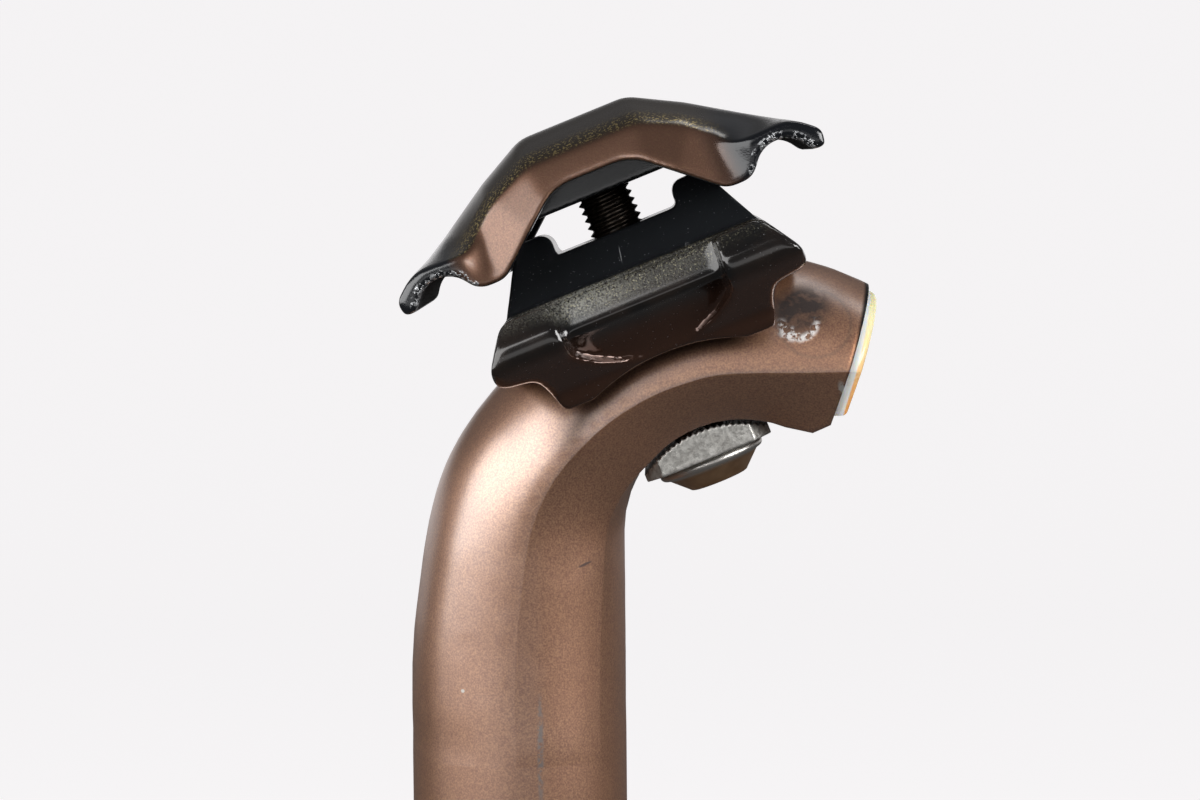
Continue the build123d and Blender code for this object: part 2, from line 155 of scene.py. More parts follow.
# The post. Places are in mm from the bend axis: towards the neck's end, to the far side, up.
# A spot is its centre, half sizes, turn and softness; a grain its size, two levels and detail.
postLook = {
    "deep": "#865239",
    "bright": "#b98963",
    "cloud": "#6b4836",
    "cloudShare": 0.16,
    "flakeGrain": (0.22, 0.3, 0.7),  # coarser than the real flake so that it shows
    "cloudGrain": (9, 0.3, 0.7, 3),
    "rough": (0.42, 0.52),
    "metallic": 0.85,
    "coat": (1.0, 0.1),  # clean and dull
    "reliefDepth": 0.07,
    "flakeHeight": 0.08,
    "edgeRadius": 1.1,
    "nearSide": (-6, -9),
    "smudge": "#1f1b1c",
    "smudgeShare": 0.95,
    "haze": ((9.2, -14, 29.3), (4.6, 9, 3.4), 10, 0.6),
    "hazeShare": 0.6,
    "stain": ((7.3, -14, 28.6), (4.4, 9, 3.1), -10, 0.5),
    "patchGrain": (1.6, 0.25, 0.5, 3),
    "patchShare": (0.6, 1.0),
    "ringOut": ((9.0, -14, 26.8), (4.6, 9, 4.4), 0, 0.06),
    "ringIn": ((9.0, -14, 26.8), (4.3, 9, 4.1), 0, 0.06),
    "ringShare": 0.35,
    "salt": "#dddbd9",
    "saltShare": 0.9,
    "saltGrain": (0.6, 0.44, 0.54, 5),
    "loopOut": ((7.0, -14, 26.9), (2.5, 9, 2.4), 0, 0.15),
    "loopIn": ((7.1, -14, 27.2), (1.8, 9, 1.8), 0, 0.2),
    "loopTop": (27.6, 26.4),
    "saltBlot": ((5.8, -14, 25.5), (1.3, 9, 0.8), 20, 0.5),
    "dirtRough": 0.6,
    "dirtMetallic": 0.2,
    # painted shade: the neck darkened where the cradle overhangs it, standing in for its shadow and
    # dark reflection
    "grime": "#17110f",
    "grimeShare": 0.85,
    "grimeRadius": (22, 25),
    "grimeFades": (("X", (5, -2)), ("X", (-26, -19)), ("Z", (8, 13))),
    # painted shade along the neck's end where it meets the plug, partly the dark joint line
    "cut": "#15100e",
    "cutAt": (6.9, 7.4),
    "cutFoot": (5, 9),
    # colour, share, spot and the grain that breaks it up, if any
    "scuff": ("#7d7774", 0.85, ((-25.1, -13, -26.0), (0.36, 6, 6.5), 0, 0.5), (0.5, 0.42, 0.54, 4)),
    "nick": ("#5c4034", 1.0, ((-19.4, -13, -3.0), (0.9, 6, 0.16), -20, 0.3), None),
    "dot": ("#c8c4be", 1.0, ((-34.7, -12, -18.6), (0.22, 6, 0.22), 0, 0.3), None),
    "chip": ("#c8c4be", 1.0, ((12.4, -14, 18.3), (0.5, 9, 1.3), -17, 0.4), (0.5, 0.44, 0.5, 2)),
}


# Metallic lacquer, sprayed over blasted aluminium: a fine sparkling grain under a soft gloss
def bronzeLacquer(look):
    material, tree = newMaterial("bronze_lacquer_on_blasted_aluminium")
    place = placeInMm(tree)
    axes = addNode(tree, "ShaderNodeSeparateXYZ", {0: place}).outputs
    settings = rising(*look["nearSide"]) | {"Value": axes["Y"]}
    near = addNode(tree, "ShaderNodeMapRange", settings).outputs[0]
    flake = grain(tree, place, *look["flakeGrain"])
    cloud = grain(tree, place, *look["cloudGrain"])
    color = lay(tree, hexColor(look["deep"]), look["bright"], flake)
    color = lay(tree, color, look["cloud"], cloud, look["cloudShare"])

    # dark smudge under the clamp's end, with a dried ring
    haze = spot(tree, place, *look["haze"])
    haze = addNode(tree, "ShaderNodeMath", product | {0: haze, 1: look["hazeShare"]}).outputs[0]
    stain = spot(tree, place, *look["stain"])
    smudge = addNode(tree, "ShaderNodeMath", larger | {0: haze, 1: stain}).outputs[0]
    patches = grain(tree, place, *look["patchGrain"])
    settings = {0: patches, 2: look["patchShare"][0], 3: look["patchShare"][1]}
    patches = addNode(tree, "ShaderNodeMix", settings).outputs[0]
    smudge = addNode(tree, "ShaderNodeMath", product | {0: smudge, 1: patches}).outputs[0]
    smudge = addNode(tree, "ShaderNodeMath", product | {0: smudge, 1: near}).outputs[0]
    ringOut, ringIn = (spot(tree, place, *look[key]) for key in ("ringOut", "ringIn"))
    ring = addNode(tree, "ShaderNodeMath", lessened | {0: ringOut, 1: ringIn}).outputs[0]
    ring = addNode(tree, "ShaderNodeMath", product | {0: ring, 1: near}).outputs[0]
    color = lay(tree, color, look["smudge"], smudge, look["smudgeShare"])
    color = lay(tree, color, look["smudge"], ring, look["ringShare"])

    # crystals of salt in a loop that is open at its top, and in a blot under it
    loopOut, loopIn = (spot(tree, place, *look[key]) for key in ("loopOut", "loopIn"))
    loop = addNode(tree, "ShaderNodeMath", lessened | {0: loopOut, 1: loopIn}).outputs[0]
    settings = rising(*look["loopTop"]) | {"Value": axes["Z"]}
    loopFade = addNode(tree, "ShaderNodeMapRange", settings).outputs[0]
    loop = addNode(tree, "ShaderNodeMath", product | {0: loop, 1: loopFade}).outputs[0]
    blot = spot(tree, place, *look["saltBlot"])
    salt = addNode(tree, "ShaderNodeMath", larger | {0: loop, 1: blot}).outputs[0]
    crystals = grain(tree, place, *look["saltGrain"])
    salt = addNode(tree, "ShaderNodeMath", product | {0: salt, 1: crystals}).outputs[0]
    salt = addNode(tree, "ShaderNodeMath", product | {0: salt, 1: near}).outputs[0]
    color = lay(tree, color, look["salt"], salt, look["saltShare"])

    # painted shade and painted dark reflection of the cradle, darkening the neck where the cradle
    # overhangs it
    flat = addNode(tree, "ShaderNodeCombineXYZ", {0: axes["X"], 2: axes["Z"]}).outputs[0]
    radius = addNode(tree, "ShaderNodeVectorMath", {"operation": "LENGTH", 0: flat}).outputs["Value"]
    settings = rising(*look["grimeRadius"]) | {"Value": radius}
    grime = addNode(tree, "ShaderNodeMapRange", settings).outputs[0]
    for axis, levels in look["grimeFades"]:
        settings = rising(*levels) | {"Value": axes[axis]}
        fade = addNode(tree, "ShaderNodeMapRange", settings).outputs[0]
        grime = addNode(tree, "ShaderNodeMath", product | {0: grime, 1: fade}).outputs[0]
    color = lay(tree, color, look["grime"], grime, look["grimeShare"])

    # painted shade: a dark band along the neck's end where it meets the plug, the joint's dark line
    # widened over the rounded edge's highlight
    settings = {"operation": "DOT_PRODUCT", 0: place, 1: neckEnd}
    outward = addNode(tree, "ShaderNodeVectorMath", settings).outputs["Value"]
    settings = rising(*look["cutAt"]) | {"Value": outward}
    cut = addNode(tree, "ShaderNodeMapRange", settings).outputs[0]
    settings = rising(*look["cutFoot"]) | {"Value": axes["Z"]}
    onNeck = addNode(tree, "ShaderNodeMapRange", settings).outputs[0]
    cut = addNode(tree, "ShaderNodeMath", product | {0: cut, 1: onNeck}).outputs[0]
    color = lay(tree, color, look["cut"], cut)

    # a rubbed scuff, a nick and a bare dot down the shaft, and paint lost at the neck's end
    for key in ("scuff", "nick", "dot", "chip"):
        over, share, where, broken = look[key]
        mark = spot(tree, place, *where)
        if broken:
            pieces = grain(tree, place, *broken)
            mark = addNode(tree, "ShaderNodeMath", product | {0: mark, 1: pieces}).outputs[0]
        mark = addNode(tree, "ShaderNodeMath", product | {0: mark, 1: near}).outputs[0]
        color = lay(tree, color, over, mark, share)

    settings = {0: cloud, 2: look["rough"][0], 3: look["rough"][1]}
    rough = addNode(tree, "ShaderNodeMix", settings).outputs[0]
    dirt = addNode(tree, "ShaderNodeMath", larger | {0: smudge, 1: salt}).outputs[0]
    rough = addNode(tree, "ShaderNodeMix", {0: dirt, 2: rough, 3: look["dirtRough"]}).outputs[0]
    settings = {0: dirt, 2: look["metallic"], 3: look["dirtMetallic"]}
    metallic = addNode(tree, "ShaderNodeMix", settings).outputs[0]
    dull = addNode(tree, "ShaderNodeMath", larger | {0: dirt, 1: grime}).outputs[0]
    dull = addNode(tree, "ShaderNodeMath", larger | {0: dull, 1: cut}).outputs[0]
    settings = {0: dull, 2: look["coat"][0], 3: look["coat"][1]}
    coat = addNode(tree, "ShaderNodeMix", settings).outputs[0]
    height = addNode(tree, "ShaderNodeMix", {0: flake, 2: 0.0, 3: look["flakeHeight"]}).outputs[0]
    height = addNode(tree, "ShaderNodeMix", {0: salt, 2: height, 3: 1.0}).outputs[0]
    surface = {"Base Color": color, "Roughness": rough, "Metallic": metallic, "Coat Weight": coat,
               "Coat Roughness": 0.3, "Coat IOR": 2.4}
    finish(tree, surface, height, look["reliefDepth"], look["edgeRadius"])
    return material


plugLook = {
    "milky": "#ece3b4",
    "amber": "#e59a52",
    "amberFrom": (29.0, 15.5),  # mm over the bend axis
    "cloud": "#c9b884",
    "cloudShare": 0.2,
    "cloudGrain": (4, 0.3, 0.7, 2),
    "seat": "#dedfdb",  # painted highlight: a pale line along the edge where it meets the neck
    "seatFrom": (8.25, 8.0),  # mm towards the neck's end
    "rough": (0.22, 0.3),
    "skinGrain": (0.6, 0.2, 0.8, 2),
    "skinDepth": 0.008,
}


# Moulded nylon, gone yellow: milky above, amber towards the bottom
def plugNylon(look):
    material, tree = newMaterial("moulded_natural_nylon")
    place = placeInMm(tree)
    height = addNode(tree, "ShaderNodeSeparateXYZ", {0: place}).outputs["Z"]
    settings = rising(*look["amberFrom"]) | {"Value": height}
    amber = addNode(tree, "ShaderNodeMapRange", settings).outputs[0]
    color = lay(tree, hexColor(look["milky"]), look["amber"], amber)
    cloud = grain(tree, place, *look["cloudGrain"])
    color = lay(tree, color, look["cloud"], cloud, look["cloudShare"])
    # painted highlight along the plug's edge by the neck
    settings = {"operation": "DOT_PRODUCT", 0: place, 1: neckEnd}
    outward = addNode(tree, "ShaderNodeVectorMath", settings).outputs["Value"]
    settings = rising(*look["seatFrom"]) | {"Value": outward}
    seat = addNode(tree, "ShaderNodeMapRange", settings).outputs[0]
    color = lay(tree, color, look["seat"], seat)
    settings = {0: cloud, 2: look["rough"][0], 3: look["rough"][1]}
    rough = addNode(tree, "ShaderNodeMix", settings).outputs[0]
    surface = {"Base Color": color, "Roughness": rough, "IOR": 1.53, "Subsurface Weight": 0.4,
               "Subsurface Radius": (0.003, 0.002, 0.001), "Subsurface Scale": 1.0}
    finish(tree, surface, grain(tree, place, *look["skinGrain"]), look["skinDepth"])
    return material


dress(frame["nodes"]["post_tube"], bronzeLacquer(postLook))
dress(frame["nodes"]["neck_end_plug"], plugNylon(plugLook))
print("post and plug dressed")


# The clamp. A Turn is how far a face turns to the side, 0 to 1. Other levels are in mm in the
# clamp's own frame: along the rails, out from the middle to either side, up the bolt.
clampLook = {
    # painted light and shade: copper on the end faces that the light falls on, dark olive over the
    # back
    "facet": "#70503f",
    "facetTurn": (0.5, 0.85),
    "band": "#453a2b",
    "dark": "#2c2219",
    "darkShare": 0.3,
    "flakeGrain": (0.2, 0.3, 0.7),  # coarser than the real flake so that it shows
    "gold": "#d0b878",
    "goldGrain": (0.3, 0.54, 0.62, 2),
    "goldShare": 0.8,
    # where the paint's gold flakes are painted as glints: near the ridge, on faces that turn up
    "ridgeSides": (13.0, 18.0),
    "ridgeTurn": (0.8, 0.4),
    "offRidge": 0.03,
    # black of the hooks, reaching further in on the right as a painted dark reflection; the hollow
    # under the arch gets it too as painted shade
    "hook": "#101216",
    "hookLeft": (-17.5, -20.5),
    "hookRight": (12.5, 17.5),
    "archCrown": 6.5,
    "archSlope": 0.86,
    "archTop": (51.4, 51.0),
    "archTurn": (0.75, 0.4),
    "archSides": (18.2, 17.6),
    "bare": "#d6d8da",
    "grooveAt": 22.0,
    "grooveHeight": 40.3,
    "grooveRadius": (4.1, 3.8),
    "mouthRadius": (4.75, 4.45),
    "mouthSides": (19.0, 19.4),
    "crackGrain": (0.45, 0.5, 0.56, 4),
    "crackPatches": (2.2, 0.42, 0.5),
    "speck": ((17.3, -20, 48.6), (0.35, 3, 0.22), 30, 0.3),
    "rough": (0.34, 0.44),
    "hookRough": 0.14,
    "grooveRough": 0.85,
    "bareRough": 0.28,
    "metallic": (0.85, 0.2),  # away from the hooks and on them
    "flakeHeight": 0.12,
    "reliefDepth": 0.05,
    "coat": (0.9, 0.35),  # away from the right hook and on it
}


# Forged aluminium in candy lacquer, painted as lit and shaded copies of one paint: copper on the end
# faces as painted light, dark olive over the back as painted shade, its gold flakes painted as
# glints along the ridge; almost black and glossy at the hooks, with painted shade in the hollow
# under the arch and a painted dark reflection on the right hook's foot; cracked to bare metal at
# their grooves
def clampLacquer(look):
    material, tree = newMaterial("candy_lacquer_on_forged_aluminium")
    place = placeInMm(tree, clampLean)
    axes = addNode(tree, "ShaderNodeSeparateXYZ", {0: place}).outputs
    along = addNode(tree, "ShaderNodeMath", {"operation": "ABSOLUTE", 0: axes["X"]}).outputs[0]
    across = addNode(tree, "ShaderNodeMath", {"operation": "ABSOLUTE", 0: axes["Y"]}).outputs[0]
    normal = addNode(tree, "ShaderNodeNewGeometry").outputs["Normal"]
    normal = addNode(tree, "ShaderNodeSeparateXYZ", {0: normal}).outputs["Y"]
    turned = addNode(tree, "ShaderNodeMath", {"operation": "ABSOLUTE", 0: normal}).outputs[0]
    masks = {}
    for key, value in (("facetTurn", turned), ("ridgeSides", across), ("ridgeTurn", turned),
                       ("hookLeft", axes["X"]), ("hookRight", axes["X"]), ("archTurn", turned),
                       ("archSides", across), ("mouthSides", across)):
        settings = rising(*look[key]) | {"Value": value}
        masks[key] = addNode(tree, "ShaderNodeMapRange", settings).outputs[0]

    # painted light and shade: copper on the end faces as their lit colour, olive over the back as
    # its shaded colour, and gold flakes painted as glints along the ridge
    flake = grain(tree, place, *look["flakeGrain"])
    settings = product | {0: masks["ridgeSides"], 1: masks["ridgeTurn"]}
    ridge = addNode(tree, "ShaderNodeMath", settings).outputs[0]
    ridge = addNode(tree, "ShaderNodeMix", {0: ridge, 2: look["offRidge"], 3: 1.0}).outputs[0]
    # gold flakes of the paint, painted as glints thick along the ridge and sparse elsewhere
    gold = grain(tree, place, *look["goldGrain"])
    gold = addNode(tree, "ShaderNodeMath", product | {0: gold, 1: ridge}).outputs[0]
    color = lay(tree, hexColor(look["band"]), look["facet"], masks["facetTurn"])
    color = lay(tree, color, look["dark"], flake, look["darkShare"])
    color = lay(tree, color, look["gold"], gold, look["goldShare"])

    # the hooks are black; the hollow below is painted black as shade up to a line that follows the
    # arch, and the right hook's black reaches further in as a painted dark reflection
    settings = larger | {0: masks["hookLeft"], 1: masks["hookRight"]}
    hook = addNode(tree, "ShaderNodeMath", settings).outputs[0]
    settings = {"operation": "SUBTRACT", 0: along, 1: look["archCrown"]}
    past = addNode(tree, "ShaderNodeMath", settings).outputs[0]
    past = addNode(tree, "ShaderNodeMath", {"operation": "MAXIMUM", 0: past, 1: 0}).outputs[0]
    settings = {"operation": "MULTIPLY_ADD", 0: past, 1: look["archSlope"], 2: axes["Z"]}
    arch = addNode(tree, "ShaderNodeMath", settings).outputs[0]
    settings = rising(*look["archTop"]) | {"Value": arch}
    underArch = addNode(tree, "ShaderNodeMapRange", settings).outputs[0]
    settings = larger | {0: masks["archTurn"], 1: masks["archSides"]}
    inside = addNode(tree, "ShaderNodeMath", settings).outputs[0]
    underArch = addNode(tree, "ShaderNodeMath", product | {0: underArch, 1: inside}).outputs[0]
    hook = addNode(tree, "ShaderNodeMath", larger | {0: hook, 1: underArch}).outputs[0]
    color = lay(tree, color, look["hook"], hook)

    # distance from the nearest groove's axis, and the cracked skin round its mouth
    settings = {"operation": "SUBTRACT", 0: along, 1: look["grooveAt"]}
    off = addNode(tree, "ShaderNodeMath", settings).outputs[0]
    settings = {"operation": "SUBTRACT", 0: axes["Z"], 1: look["grooveHeight"]}
    up = addNode(tree, "ShaderNodeMath", settings).outputs[0]
    flat = addNode(tree, "ShaderNodeCombineXYZ", {0: off, 1: up}).outputs[0]
    radius = addNode(tree, "ShaderNodeVectorMath", {"operation": "LENGTH", 0: flat}).outputs["Value"]
    settings = rising(*look["mouthRadius"]) | {"Value": radius}
    mouth = addNode(tree, "ShaderNodeMapRange", settings).outputs[0]
    mouth = addNode(tree, "ShaderNodeMath", product | {0: mouth, 1: masks["mouthSides"]}).outputs[0]
    cracks = grain(tree, place, *look["crackGrain"])
    patches = grain(tree, place, *look["crackPatches"])
    cracks = addNode(tree, "ShaderNodeMath", product | {0: cracks, 1: patches}).outputs[0]
    bare = addNode(tree, "ShaderNodeMath", product | {0: mouth, 1: cracks}).outputs[0]
    settings = rising(*look["grooveRadius"]) | {"Value": radius}
    groove = addNode(tree, "ShaderNodeMapRange", settings).outputs[0]
    color = lay(tree, color, look["bare"], bare)
    color = lay(tree, color, look["bare"], spot(tree, place, *look["speck"]))

    settings = {0: flake, 2: look["rough"][0], 3: look["rough"][1]}
    rough = addNode(tree, "ShaderNodeMix", settings).outputs[0]
    for mask, level in ((hook, "hookRough"), (groove, "grooveRough"), (bare, "bareRough")):
        rough = addNode(tree, "ShaderNodeMix", {0: mask, 2: rough, 3: look[level]}).outputs[0]
    settings = {0: hook, 2: look["metallic"][0], 3: look["metallic"][1]}
    metallic = addNode(tree, "ShaderNodeMix", settings).outputs[0]
    metallic = addNode(tree, "ShaderNodeMix", {0: bare, 2: metallic, 3: 1.0}).outputs[0]
    settings = {0: masks["hookRight"], 2: look["coat"][0], 3: look["coat"][1]}
    coat = addNode(tree, "ShaderNodeMix", settings).outputs[0]
    coat = addNode(tree, "ShaderNodeMix", {0: groove, 2: coat, 3: 0.0}).outputs[0]
    height = addNode(tree, "ShaderNodeMix", {0: flake, 2: 0.0, 3: look["flakeHeight"]}).outputs[0]
    height = addNode(tree, "ShaderNodeMix", {0: bare, 2: height, 3: 1.0}).outputs[0]
    surface = {"Base Color": color, "Roughness": rough, "Metallic": metallic, "Coat Weight": coat,
               "Coat Roughness": 0.2}
    finish(tree, surface, height, look["reliefDepth"])
    return material


# The cradle, in the clamp's frame too
cradleLook = {
    "skin": "#0e0d0d",
    "warm": "#1f1814",
    "cloudGrain": (5, 0.35, 0.65, 3),
    # painted reflection: the bronze post seen in the black gloss, painted brown on the lower sides
    "low": "#4a3125",
    "lowShare": 0.85,
    "lowHeight": (31.5, 28.5),  # where the painted brown reflection of the post starts
    "outerSides": (17.0, 18.0),
    "rim": ("#85847c", "#45443e"),  # towards the shaft, towards the neck's end: lighter towards the shaft as painted light
    "rimFade": (-8, 3),
    "rimFoot": (33.2, 34.6),  # where the rubbed rim starts, in the middle and at the ends
    "rimRise": (-0.6, 1.4),
    "lumpStart": (9.0, 12.0),
    "rubFade": (6.5, 13.5),
    "rubShare": (1.0, 0.25),
    "wornGrain": (0.24, 0.36, 0.62, 3),
    "wornShare": 0.9,
    "gold": "#98937a",
    "goldGrain": (0.2, 0.58, 0.7, 2),
    "block": "#1e2023",
    "blockSides": (17.0, 16.0),
    "dust": "#8f9092",
    "dustGrain": (0.3, 0.73, 0.77, 1),
    "dustOffBlock": 0.3,
    "hairs": [((7.1, -14.4, 36.1), 0.55, -62), ((6.45, -14.6, 35.6), 0.4, 4),
              ((5.8, -14.6, 35.25), 0.5, -54), ((-0.62, -12.4, 38.2), 0.97, -80)],
    "hairWidth": 0.045,  # half of it
    "rough": (0.14, 0.2),
    "wornRough": 0.42,
    "blockRough": 0.38,
    "dustRough": 0.8,
    "metallic": (0.25, 0.6),  # clean and worn
    "lowMetallic": 0.7,
    "reliefDepth": 0.02,
}


# Forged aluminium in black gloss lacquer: deep wet black, with a rubbed, speckled rim and
# a plainer, dusty block in the middle
def cradleLacquer(look):
    material, tree = newMaterial("black_gloss_lacquer_on_forged_aluminium")
    place = placeInMm(tree, clampLean)
    axes = addNode(tree, "ShaderNodeSeparateXYZ", {0: place}).outputs
    along = addNode(tree, "ShaderNodeMath", {"operation": "ABSOLUTE", 0: axes["X"]}).outputs[0]
    across = addNode(tree, "ShaderNodeMath", {"operation": "ABSOLUTE", 0: axes["Y"]}).outputs[0]
    masks = {}
    for key, value in (("outerSides", across), ("blockSides", across), ("lumpStart", along),
                       ("rubFade", along), ("rimFade", axes["X"]), ("lowHeight", axes["Z"])):
        settings = rising(*look[key]) | {"Value": value}
        masks[key] = addNode(tree, "ShaderNodeMapRange", settings).outputs[0]
    cloud = grain(tree, place, *look["cloudGrain"])
    color = lay(tree, hexColor(look["skin"]), look["warm"], cloud)
    # painted reflection: the lower sides painted brown as the bronze post reflected in the black
    # gloss
    settings = product | {0: masks["lowHeight"], 1: masks["outerSides"]}
    low = addNode(tree, "ShaderNodeMath", settings).outputs[0]
    color = lay(tree, color, look["low"], low, look["lowShare"])

    # the rubbed rim: its foot is higher at the lumps, and it is rubbed less towards the ends
    settings = {0: masks["lumpStart"], 2: look["rimFoot"][0], 3: look["rimFoot"][1]}
    foot = addNode(tree, "ShaderNodeMix", settings).outputs[0]
    settings = {"operation": "SUBTRACT", 0: axes["Z"], 1: foot}
    overFoot = addNode(tree, "ShaderNodeMath", settings).outputs[0]
    settings = rising(*look["rimRise"]) | {"Value": overFoot}
    rim = addNode(tree, "ShaderNodeMapRange", settings).outputs[0]
    rim = addNode(tree, "ShaderNodeMath", product | {0: rim, 1: masks["outerSides"]}).outputs[0]
    settings = {0: masks["rubFade"], 2: look["rubShare"][0], 3: look["rubShare"][1]}
    rubbed = addNode(tree, "ShaderNodeMix", settings).outputs[0]
    rubbed = addNode(tree, "ShaderNodeMath", product | {0: rim, 1: rubbed}).outputs[0]
    worn = grain(tree, place, *look["wornGrain"])
    worn = addNode(tree, "ShaderNodeMath", product | {0: rubbed, 1: worn}).outputs[0]
    gold = grain(tree, place, *look["goldGrain"])
    gold = addNode(tree, "ShaderNodeMath", product | {0: rubbed, 1: gold}).outputs[0]
    # the rim is painted lighter towards the shaft as painted light
    rimColor = lay(tree, hexColor(look["rim"][0]), look["rim"][1], masks["rimFade"])
    color = lay(tree, color, rimColor, worn, look["wornShare"])
    color = lay(tree, color, look["gold"], gold)

    # the block in the middle, dust on it and a few hairs
    block = masks["blockSides"]
    color = lay(tree, color, look["block"], block)
    settings = {0: block, 2: look["dustOffBlock"], 3: 1.0}
    dusty = addNode(tree, "ShaderNodeMix", settings).outputs[0]
    dust = grain(tree, place, *look["dustGrain"])
    dust = addNode(tree, "ShaderNodeMath", product | {0: dust, 1: dusty}).outputs[0]
    for centre, reach, turn in look["hairs"]:
        hair = spot(tree, place, centre, (reach, 3, look["hairWidth"]), turn, 0.4)
        dust = addNode(tree, "ShaderNodeMath", larger | {0: dust, 1: hair}).outputs[0]
    color = lay(tree, color, look["dust"], dust)

    settings = {0: cloud, 2: look["rough"][0], 3: look["rough"][1]}
    rough = addNode(tree, "ShaderNodeMix", settings).outputs[0]
    for mask, level in ((worn, "wornRough"), (block, "blockRough"), (dust, "dustRough")):
        rough = addNode(tree, "ShaderNodeMix", {0: mask, 2: rough, 3: look[level]}).outputs[0]
    settings = {0: worn, 2: look["metallic"][0], 3: look["metallic"][1]}
    metallic = addNode(tree, "ShaderNodeMix", settings).outputs[0]
    settings = {0: low, 2: metallic, 3: look["lowMetallic"]}
    metallic = addNode(tree, "ShaderNodeMix", settings).outputs[0]
    surface = {"Base Color": color, "Roughness": rough, "Metallic": metallic, "Coat Weight": 0.7,
               "Coat Roughness": 0.1}
    finish(tree, surface, worn, look["reliefDepth"])
    return material


def onlySelect(obj):
    bpy.ops.object.select_all(action="DESELECT")
    obj.select_set(True)
    bpy.context.view_layer.objects.active = obj


def applyModifier(obj, name, kind, **settings):
    modifier = obj.modifiers.new(name, kind)
    for setting, value in settings.items():
        setattr(modifier, setting, value)
    onlySelect(obj)
    bpy.ops.object.modifier_apply(modifier=name)


# A copy of a forged or pressed piece with its edges rubbed soft, as tumbling leaves them
def softCopy(node, name, shape):
    onlySelect(frame["nodes"][node])
    bpy.ops.object.duplicate()
    soft = bpy.context.object
    soft.name = name
    bpy.ops.object.parent_clear(type="CLEAR_KEEP_TRANSFORM")
    bpy.ops.object.mode_set(mode="EDIT")
    bpy.ops.mesh.select_all(action="SELECT")
    bpy.ops.mesh.remove_doubles(threshold=0.002 * mm)
    bpy.ops.object.mode_set(mode="OBJECT")
    applyModifier(soft, "skin", "REMESH", mode="VOXEL", voxel_size=shape["voxel"] * mm,
                  use_smooth_shade=True)
    applyModifier(soft, "rub", "SMOOTH", factor=0.5, iterations=shape["passes"])
    onlySelect(soft)
    bpy.ops.object.shade_smooth()
    return soft


# More rubbing towards both sides, from one distance to another
def rubSides(obj, shape):
    start, end = shape["rubFrom"]
    group = obj.vertex_groups.new(name="sides")
    for vertex in obj.data.vertices:
        share = (abs(vertex.co.y) / mm - start) / (end - start)
        if share > 0:
            group.add([vertex.index], min(share, 1), "REPLACE")
    applyModifier(obj, "rubSides", "SMOOTH", factor=0.5, iterations=shape["rubPasses"],
                  vertex_group="sides")
    obj.vertex_groups.clear()


def closest(point, start, end):
    span = end - start
    share = min(1, max(0, (point - start).dot(span) / span.length_squared))
    return start + span * share


# The clamp's end faces lean back towards its back edge, less and less out to the hooks
def leanEnds(obj, shape):
    line = [Vector(point) for point in shape["backEdge"]]
    start, end = shape["leanFrom"], shape["halfLength"]
    fadeStart, fadeEnd = shape["hookFade"]
    turn = boltFrame.inverted()
    for vertex in obj.data.vertices:
        local = turn @ vertex.co / mm
        if abs(local.y) < start:
            continue
        point = Vector((abs(local.x), local.z))
        reach = min((point - closest(point, a, b)).length for a, b in zip(line, line[1:]))
        lean = max(0, 1 - reach / shape["facetWidth"]) * shape["leanDepth"]
        fade = min(1, max(0, (fadeEnd - abs(local.x)) / (fadeEnd - fadeStart)))
        share = (abs(local.y) - start) / (end - start)
        vertex.co.y *= 1 - lean * fade * share / end


clampShape = {
    "voxel": 0.33,
    "passes": 5,
    # along the rails and up the bolt
    "backEdge": [(0, 51.9), (7.2, 51.9), (12.6, 49.7), (16.8, 45.5), (24.6, 45.8)],
    "facetWidth": 5.2,
    "leanDepth": 2.2,
    "leanFrom": 15.0,
    "halfLength": 20.5,
    "hookFade": (15.0, 18.5),
    "rubFrom": (15.0, 18.0),
    "rubPasses": 22,
}
cradleShape = {
    "voxel": 0.34,
    "passes": 4,
    "rubFrom": (19.0, 23.0),
    "rubPasses": 22,
}
clamp = softCopy("top_clamp", "top_clamp_forging", clampShape)
leanEnds(clamp, clampShape)
rubSides(clamp, clampShape)
dress(clamp, clampLacquer(clampLook))
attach(clamp, "clamp")
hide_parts("top_clamp")
cradle = softCopy("lower_cradle", "lower_cradle_forging", cradleShape)
rubSides(cradle, cradleShape)
dress(cradle, cradleLacquer(cradleLook))
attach(cradle, "cradle")
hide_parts("lower_cradle")
print("forgings softened", len(clamp.data.polygons), len(cradle.data.polygons))


# A line of edges, drawn by extruding one vertex through points in metres
def drawLine(name, points):
    bpy.ops.object.select_all(action="DESELECT")
    bpy.ops.mesh.primitive_plane_add(size=mm, location=(0, 0, 0))
    line = bpy.context.object
    line.name = name
    bpy.ops.object.mode_set(mode="EDIT")
    bpy.ops.mesh.select_all(action="SELECT")
    bpy.ops.mesh.merge(type="CENTER")
    bpy.ops.transform.translate(value=points[0])
    for start, end in zip(points, points[1:]):
        step = {"value": [b - a for a, b in zip(start, end)]}
        bpy.ops.mesh.extrude_region_move(TRANSFORM_OT_translate=step)
    bpy.ops.object.mode_set(mode="OBJECT")
    return line


